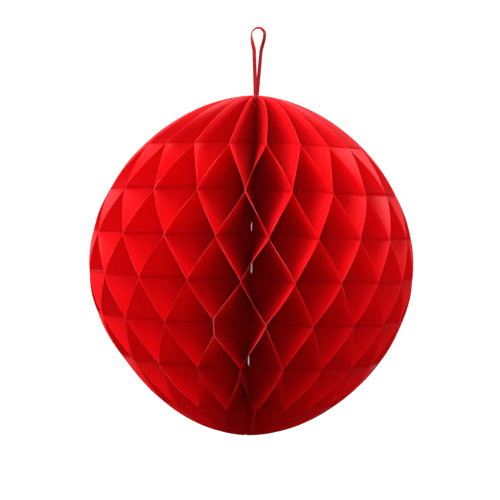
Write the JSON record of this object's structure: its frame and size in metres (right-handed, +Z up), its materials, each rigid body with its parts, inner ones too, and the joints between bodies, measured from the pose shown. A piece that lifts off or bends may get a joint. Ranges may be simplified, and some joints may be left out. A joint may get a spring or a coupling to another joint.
{
  "type": "paper honeycomb ball",
  "caption": "Red paper honeycomb ball of glued half-disc leaves that fans open around a stitched spine and hangs from a ribbon loop as a decoration.",
  "frame": {"origin": "the point the ball hangs from, at the inner top of the ribbon loop, straight above the spine", "axes": "+Z up along the spine; the seam between the two covers is at +Y; azimuth 0 is -Y"},
  "size_m": [0.2841, 0.2843, 0.3598],
  "materials": {
    "red_paper": "matt dyed paper",
    "red_card": "smooth dyed card",
    "red_satin": "satin ribbon",
    "white_cotton": "twisted cotton thread",
    "white_adhesive": "adhesive strip"
  },
  "bodies": {
    "left_cover": {"cover_left": "red_card", "closing_strip_top": "white_adhesive", "closing_strip_middle": "white_adhesive", "closing_strip_bottom": "white_adhesive", "spine_thread": "white_cotton", "thread_knot_top": "white_cotton", "thread_knot_bottom": "white_cotton", "ribbon_knot": "red_satin", "hanging_ribbon": "red_satin"},
    "right_cover": {"cover_right": "red_card"},
    "leaf_01_body": {"leaf_01": "red_paper"},
    "leaf_02_body": {"leaf_02": "red_paper"},
    "leaf_03_body": {"leaf_03": "red_paper"},
    "leaf_04_body": {"leaf_04": "red_paper"},
    "leaf_05_body": {"leaf_05": "red_paper"},
    "leaf_06_body": {"leaf_06": "red_paper"},
    "leaf_07_body": {"leaf_07": "red_paper"},
    "leaf_08_body": {"leaf_08": "red_paper"},
    "leaf_09_body": {"leaf_09": "red_paper"},
    "leaf_10_body": {"leaf_10": "red_paper"},
    "leaf_11_body": {"leaf_11": "red_paper"},
    "leaf_12_body": {"leaf_12": "red_paper"},
    "leaf_13_body": {"leaf_13": "red_paper"},
    "leaf_14_body": {"leaf_14": "red_paper"},
    "leaf_15_body": {"leaf_15": "red_paper"},
    "leaf_16_body": {"leaf_16": "red_paper"},
    "leaf_17_body": {"leaf_17": "red_paper"},
    "leaf_18_body": {"leaf_18": "red_paper"},
    "leaf_19_body": {"leaf_19": "red_paper"},
    "leaf_20_body": {"leaf_20": "red_paper"},
    "leaf_21_body": {"leaf_21": "red_paper"},
    "leaf_22_body": {"leaf_22": "red_paper"},
    "leaf_23_body": {"leaf_23": "red_paper"},
    "leaf_24_body": {"leaf_24": "red_paper"},
    "leaf_25_body": {"leaf_25": "red_paper"},
    "leaf_26_body": {"leaf_26": "red_paper"},
    "leaf_27_body": {"leaf_27": "red_paper"},
    "leaf_28_body": {"leaf_28": "red_paper"},
    "leaf_29_body": {"leaf_29": "red_paper"},
    "leaf_30_body": {"leaf_30": "red_paper"},
    "leaf_31_body": {"leaf_31": "red_paper"},
    "leaf_32_body": {"leaf_32": "red_paper"},
    "leaf_33_body": {"leaf_33": "red_paper"},
    "leaf_34_body": {"leaf_34": "red_paper"},
    "leaf_35_body": {"leaf_35": "red_paper"},
    "leaf_36_body": {"leaf_36": "red_paper"},
    "leaf_37_body": {"leaf_37": "red_paper"},
    "leaf_38_body": {"leaf_38": "red_paper"},
    "leaf_39_body": {"leaf_39": "red_paper"},
    "leaf_40_body": {"leaf_40": "red_paper"}
  },
  "joints": [
    {"name": "fold", "type": "hinge", "parent": "left_cover", "child": "right_cover", "pos_m": [0, 0, -0.2], "axis": [0, 0, -1], "range_deg": [0, 345], "deforming": ["leaf_01", "leaf_02", "leaf_03", "leaf_04", "leaf_05", "leaf_06", "leaf_07", "leaf_08", "leaf_09", "leaf_10", "leaf_11", "leaf_12", "leaf_13", "leaf_14", "leaf_15", "leaf_16", "leaf_17", "leaf_18", "leaf_19", "leaf_20", "leaf_21", "leaf_22", "leaf_23", "leaf_24", "leaf_25", "leaf_26", "leaf_27", "leaf_28", "leaf_29", "leaf_30", "leaf_31", "leaf_32", "leaf_33", "leaf_34", "leaf_35", "leaf_36", "leaf_37", "leaf_38", "leaf_39", "leaf_40"]},
    {"name": "leaf_01_turn", "type": "hinge", "parent": "left_cover", "child": "leaf_01_body", "pos_m": [0, 0, -0.2], "axis": [0, 0, -1], "range_deg": [0, 4.77]},
    {"name": "leaf_02_turn", "type": "hinge", "parent": "left_cover", "child": "leaf_02_body", "pos_m": [0, 0, -0.2], "axis": [0, 0, -1], "range_deg": [0, 13.54]},
    {"name": "leaf_03_turn", "type": "hinge", "parent": "left_cover", "child": "leaf_03_body", "pos_m": [0, 0, -0.2], "axis": [0, 0, -1], "range_deg": [0, 22.46]},
    {"name": "leaf_04_turn", "type": "hinge", "parent": "left_cover", "child": "leaf_04_body", "pos_m": [0, 0, -0.2], "axis": [0, 0, -1], "range_deg": [0, 31.54]},
    {"name": "leaf_05_turn", "type": "hinge", "parent": "left_cover", "child": "leaf_05_body", "pos_m": [0, 0, -0.2], "axis": [0, 0, -1], "range_deg": [0, 40.76]},
    {"name": "leaf_06_turn", "type": "hinge", "parent": "left_cover", "child": "leaf_06_body", "pos_m": [0, 0, -0.2], "axis": [0, 0, -1], "range_deg": [0, 50.1]},
    {"name": "leaf_07_turn", "type": "hinge", "parent": "left_cover", "child": "leaf_07_body", "pos_m": [0, 0, -0.2], "axis": [0, 0, -1], "range_deg": [0, 59.55]},
    {"name": "leaf_08_turn", "type": "hinge", "parent": "left_cover", "child": "leaf_08_body", "pos_m": [0, 0, -0.2], "axis": [0, 0, -1], "range_deg": [0, 69.09]},
    {"name": "leaf_09_turn", "type": "hinge", "parent": "left_cover", "child": "leaf_09_body", "pos_m": [0, 0, -0.2], "axis": [0, 0, -1], "range_deg": [0, 78.69]},
    {"name": "leaf_10_turn", "type": "hinge", "parent": "left_cover", "child": "leaf_10_body", "pos_m": [0, 0, -0.2], "axis": [0, 0, -1], "range_deg": [0, 88.33]},
    {"name": "leaf_11_turn", "type": "hinge", "parent": "left_cover", "child": "leaf_11_body", "pos_m": [0, 0, -0.2], "axis": [0, 0, -1], "range_deg": [0, 97.98]},
    {"name": "leaf_12_turn", "type": "hinge", "parent": "left_cover", "child": "leaf_12_body", "pos_m": [0, 0, -0.2], "axis": [0, 0, -1], "range_deg": [0, 107.61]},
    {"name": "leaf_13_turn", "type": "hinge", "parent": "left_cover", "child": "leaf_13_body", "pos_m": [0, 0, -0.2], "axis": [0, 0, -1], "range_deg": [0, 117.21]},
    {"name": "leaf_14_turn", "type": "hinge", "parent": "left_cover", "child": "leaf_14_body", "pos_m": [0, 0, -0.2], "axis": [0, 0, -1], "range_deg": [0, 126.75]},
    {"name": "leaf_15_turn", "type": "hinge", "parent": "left_cover", "child": "leaf_15_body", "pos_m": [0, 0, -0.2], "axis": [0, 0, -1], "range_deg": [0, 136.2]},
    {"name": "leaf_16_turn", "type": "hinge", "parent": "left_cover", "child": "leaf_16_body", "pos_m": [0, 0, -0.2], "axis": [0, 0, -1], "range_deg": [0, 145.54]},
    {"name": "leaf_17_turn", "type": "hinge", "parent": "left_cover", "child": "leaf_17_body", "pos_m": [0, 0, -0.2], "axis": [0, 0, -1], "range_deg": [0, 154.76]},
    {"name": "leaf_18_turn", "type": "hinge", "parent": "left_cover", "child": "leaf_18_body", "pos_m": [0, 0, -0.2], "axis": [0, 0, -1], "range_deg": [0, 163.84]},
    {"name": "leaf_19_turn", "type": "hinge", "parent": "left_cover", "child": "leaf_19_body", "pos_m": [0, 0, -0.2], "axis": [0, 0, -1], "range_deg": [0, 172.77]},
    {"name": "leaf_20_turn", "type": "hinge", "parent": "left_cover", "child": "leaf_20_body", "pos_m": [0, 0, -0.2], "axis": [0, 0, -1], "range_deg": [0, 181.53]},
    {"name": "leaf_21_turn", "type": "hinge", "parent": "left_cover", "child": "leaf_21_body", "pos_m": [0, 0, -0.2], "axis": [0, 0, -1], "range_deg": [0, 190.14]},
    {"name": "leaf_22_turn", "type": "hinge", "parent": "left_cover", "child": "leaf_22_body", "pos_m": [0, 0, -0.2], "axis": [0, 0, -1], "range_deg": [0, 198.58]},
    {"name": "leaf_23_turn", "type": "hinge", "parent": "left_cover", "child": "leaf_23_body", "pos_m": [0, 0, -0.2], "axis": [0, 0, -1], "range_deg": [0, 206.86]},
    {"name": "leaf_24_turn", "type": "hinge", "parent": "left_cover", "child": "leaf_24_body", "pos_m": [0, 0, -0.2], "axis": [0, 0, -1], "range_deg": [0, 214.99]},
    {"name": "leaf_25_turn", "type": "hinge", "parent": "left_cover", "child": "leaf_25_body", "pos_m": [0, 0, -0.2], "axis": [0, 0, -1], "range_deg": [0, 222.98]},
    {"name": "leaf_26_turn", "type": "hinge", "parent": "left_cover", "child": "leaf_26_body", "pos_m": [0, 0, -0.2], "axis": [0, 0, -1], "range_deg": [0, 230.84]},
    {"name": "leaf_27_turn", "type": "hinge", "parent": "left_cover", "child": "leaf_27_body", "pos_m": [0, 0, -0.2], "axis": [0, 0, -1], "range_deg": [0, 238.6]},
    {"name": "leaf_28_turn", "type": "hinge", "parent": "left_cover", "child": "leaf_28_body", "pos_m": [0, 0, -0.2], "axis": [0, 0, -1], "range_deg": [0, 246.27]},
    {"name": "leaf_29_turn", "type": "hinge", "parent": "left_cover", "child": "leaf_29_body", "pos_m": [0, 0, -0.2], "axis": [0, 0, -1], "range_deg": [0, 253.88]},
    {"name": "leaf_30_turn", "type": "hinge", "parent": "left_cover", "child": "leaf_30_body", "pos_m": [0, 0, -0.2], "axis": [0, 0, -1], "range_deg": [0, 261.45]},
    {"name": "leaf_31_turn", "type": "hinge", "parent": "left_cover", "child": "leaf_31_body", "pos_m": [0, 0, -0.2], "axis": [0, 0, -1], "range_deg": [0, 269.01]},
    {"name": "leaf_32_turn", "type": "hinge", "parent": "left_cover", "child": "leaf_32_body", "pos_m": [0, 0, -0.2], "axis": [0, 0, -1], "range_deg": [0, 276.58]},
    {"name": "leaf_33_turn", "type": "hinge", "parent": "left_cover", "child": "leaf_33_body", "pos_m": [0, 0, -0.2], "axis": [0, 0, -1], "range_deg": [0, 284.19]},
    {"name": "leaf_34_turn", "type": "hinge", "parent": "left_cover", "child": "leaf_34_body", "pos_m": [0, 0, -0.2], "axis": [0, 0, -1], "range_deg": [0, 291.86]},
    {"name": "leaf_35_turn", "type": "hinge", "parent": "left_cover", "child": "leaf_35_body", "pos_m": [0, 0, -0.2], "axis": [0, 0, -1], "range_deg": [0, 299.62]},
    {"name": "leaf_36_turn", "type": "hinge", "parent": "left_cover", "child": "leaf_36_body", "pos_m": [0, 0, -0.2], "axis": [0, 0, -1], "range_deg": [0, 307.48]},
    {"name": "leaf_37_turn", "type": "hinge", "parent": "left_cover", "child": "leaf_37_body", "pos_m": [0, 0, -0.2], "axis": [0, 0, -1], "range_deg": [0, 315.47]},
    {"name": "leaf_38_turn", "type": "hinge", "parent": "left_cover", "child": "leaf_38_body", "pos_m": [0, 0, -0.2], "axis": [0, 0, -1], "range_deg": [0, 323.6]},
    {"name": "leaf_39_turn", "type": "hinge", "parent": "left_cover", "child": "leaf_39_body", "pos_m": [0, 0, -0.2], "axis": [0, 0, -1], "range_deg": [0, 331.88]},
    {"name": "leaf_40_turn", "type": "hinge", "parent": "left_cover", "child": "leaf_40_body", "pos_m": [0, 0, -0.2], "axis": [0, 0, -1], "range_deg": [0, 340.32]}
  ],
  "couplings": [
    {"joint": "leaf_01_turn", "follows": "fold", "ratio": 0.013812},
    {"joint": "leaf_02_turn", "follows": "fold", "ratio": 0.039226},
    {"joint": "leaf_03_turn", "follows": "fold", "ratio": 0.065102},
    {"joint": "leaf_04_turn", "follows": "fold", "ratio": 0.091417},
    {"joint": "leaf_05_turn", "follows": "fold", "ratio": 0.11814},
    {"joint": "leaf_06_turn", "follows": "fold", "ratio": 0.14522},
    {"joint": "leaf_07_turn", "follows": "fold", "ratio": 0.17261},
    {"joint": "leaf_08_turn", "follows": "fold", "ratio": 0.20025},
    {"joint": "leaf_09_turn", "follows": "fold", "ratio": 0.22808},
    {"joint": "leaf_10_turn", "follows": "fold", "ratio": 0.25601},
    {"joint": "leaf_11_turn", "follows": "fold", "ratio": 0.28398},
    {"joint": "leaf_12_turn", "follows": "fold", "ratio": 0.31192},
    {"joint": "leaf_13_turn", "follows": "fold", "ratio": 0.33974},
    {"joint": "leaf_14_turn", "follows": "fold", "ratio": 0.36738},
    {"joint": "leaf_15_turn", "follows": "fold", "ratio": 0.39477},
    {"joint": "leaf_16_turn", "follows": "fold", "ratio": 0.42186},
    {"joint": "leaf_17_turn", "follows": "fold", "ratio": 0.44858},
    {"joint": "leaf_18_turn", "follows": "fold", "ratio": 0.47489},
    {"joint": "leaf_19_turn", "follows": "fold", "ratio": 0.50077},
    {"joint": "leaf_20_turn", "follows": "fold", "ratio": 0.52618},
    {"joint": "leaf_21_turn", "follows": "fold", "ratio": 0.55112},
    {"joint": "leaf_22_turn", "follows": "fold", "ratio": 0.57559},
    {"joint": "leaf_23_turn", "follows": "fold", "ratio": 0.59959},
    {"joint": "leaf_24_turn", "follows": "fold", "ratio": 0.62315},
    {"joint": "leaf_25_turn", "follows": "fold", "ratio": 0.64631},
    {"joint": "leaf_26_turn", "follows": "fold", "ratio": 0.6691},
    {"joint": "leaf_27_turn", "follows": "fold", "ratio": 0.69159},
    {"joint": "leaf_28_turn", "follows": "fold", "ratio": 0.71382},
    {"joint": "leaf_29_turn", "follows": "fold", "ratio": 0.73588},
    {"joint": "leaf_30_turn", "follows": "fold", "ratio": 0.75782},
    {"joint": "leaf_31_turn", "follows": "fold", "ratio": 0.77973},
    {"joint": "leaf_32_turn", "follows": "fold", "ratio": 0.80167},
    {"joint": "leaf_33_turn", "follows": "fold", "ratio": 0.82373},
    {"joint": "leaf_34_turn", "follows": "fold", "ratio": 0.84596},
    {"joint": "leaf_35_turn", "follows": "fold", "ratio": 0.86845},
    {"joint": "leaf_36_turn", "follows": "fold", "ratio": 0.89124},
    {"joint": "leaf_37_turn", "follows": "fold", "ratio": 0.9144},
    {"joint": "leaf_38_turn", "follows": "fold", "ratio": 0.93796},
    {"joint": "leaf_39_turn", "follows": "fold", "ratio": 0.96196},
    {"joint": "leaf_40_turn", "follows": "fold", "ratio": 0.98643}
  ]
}
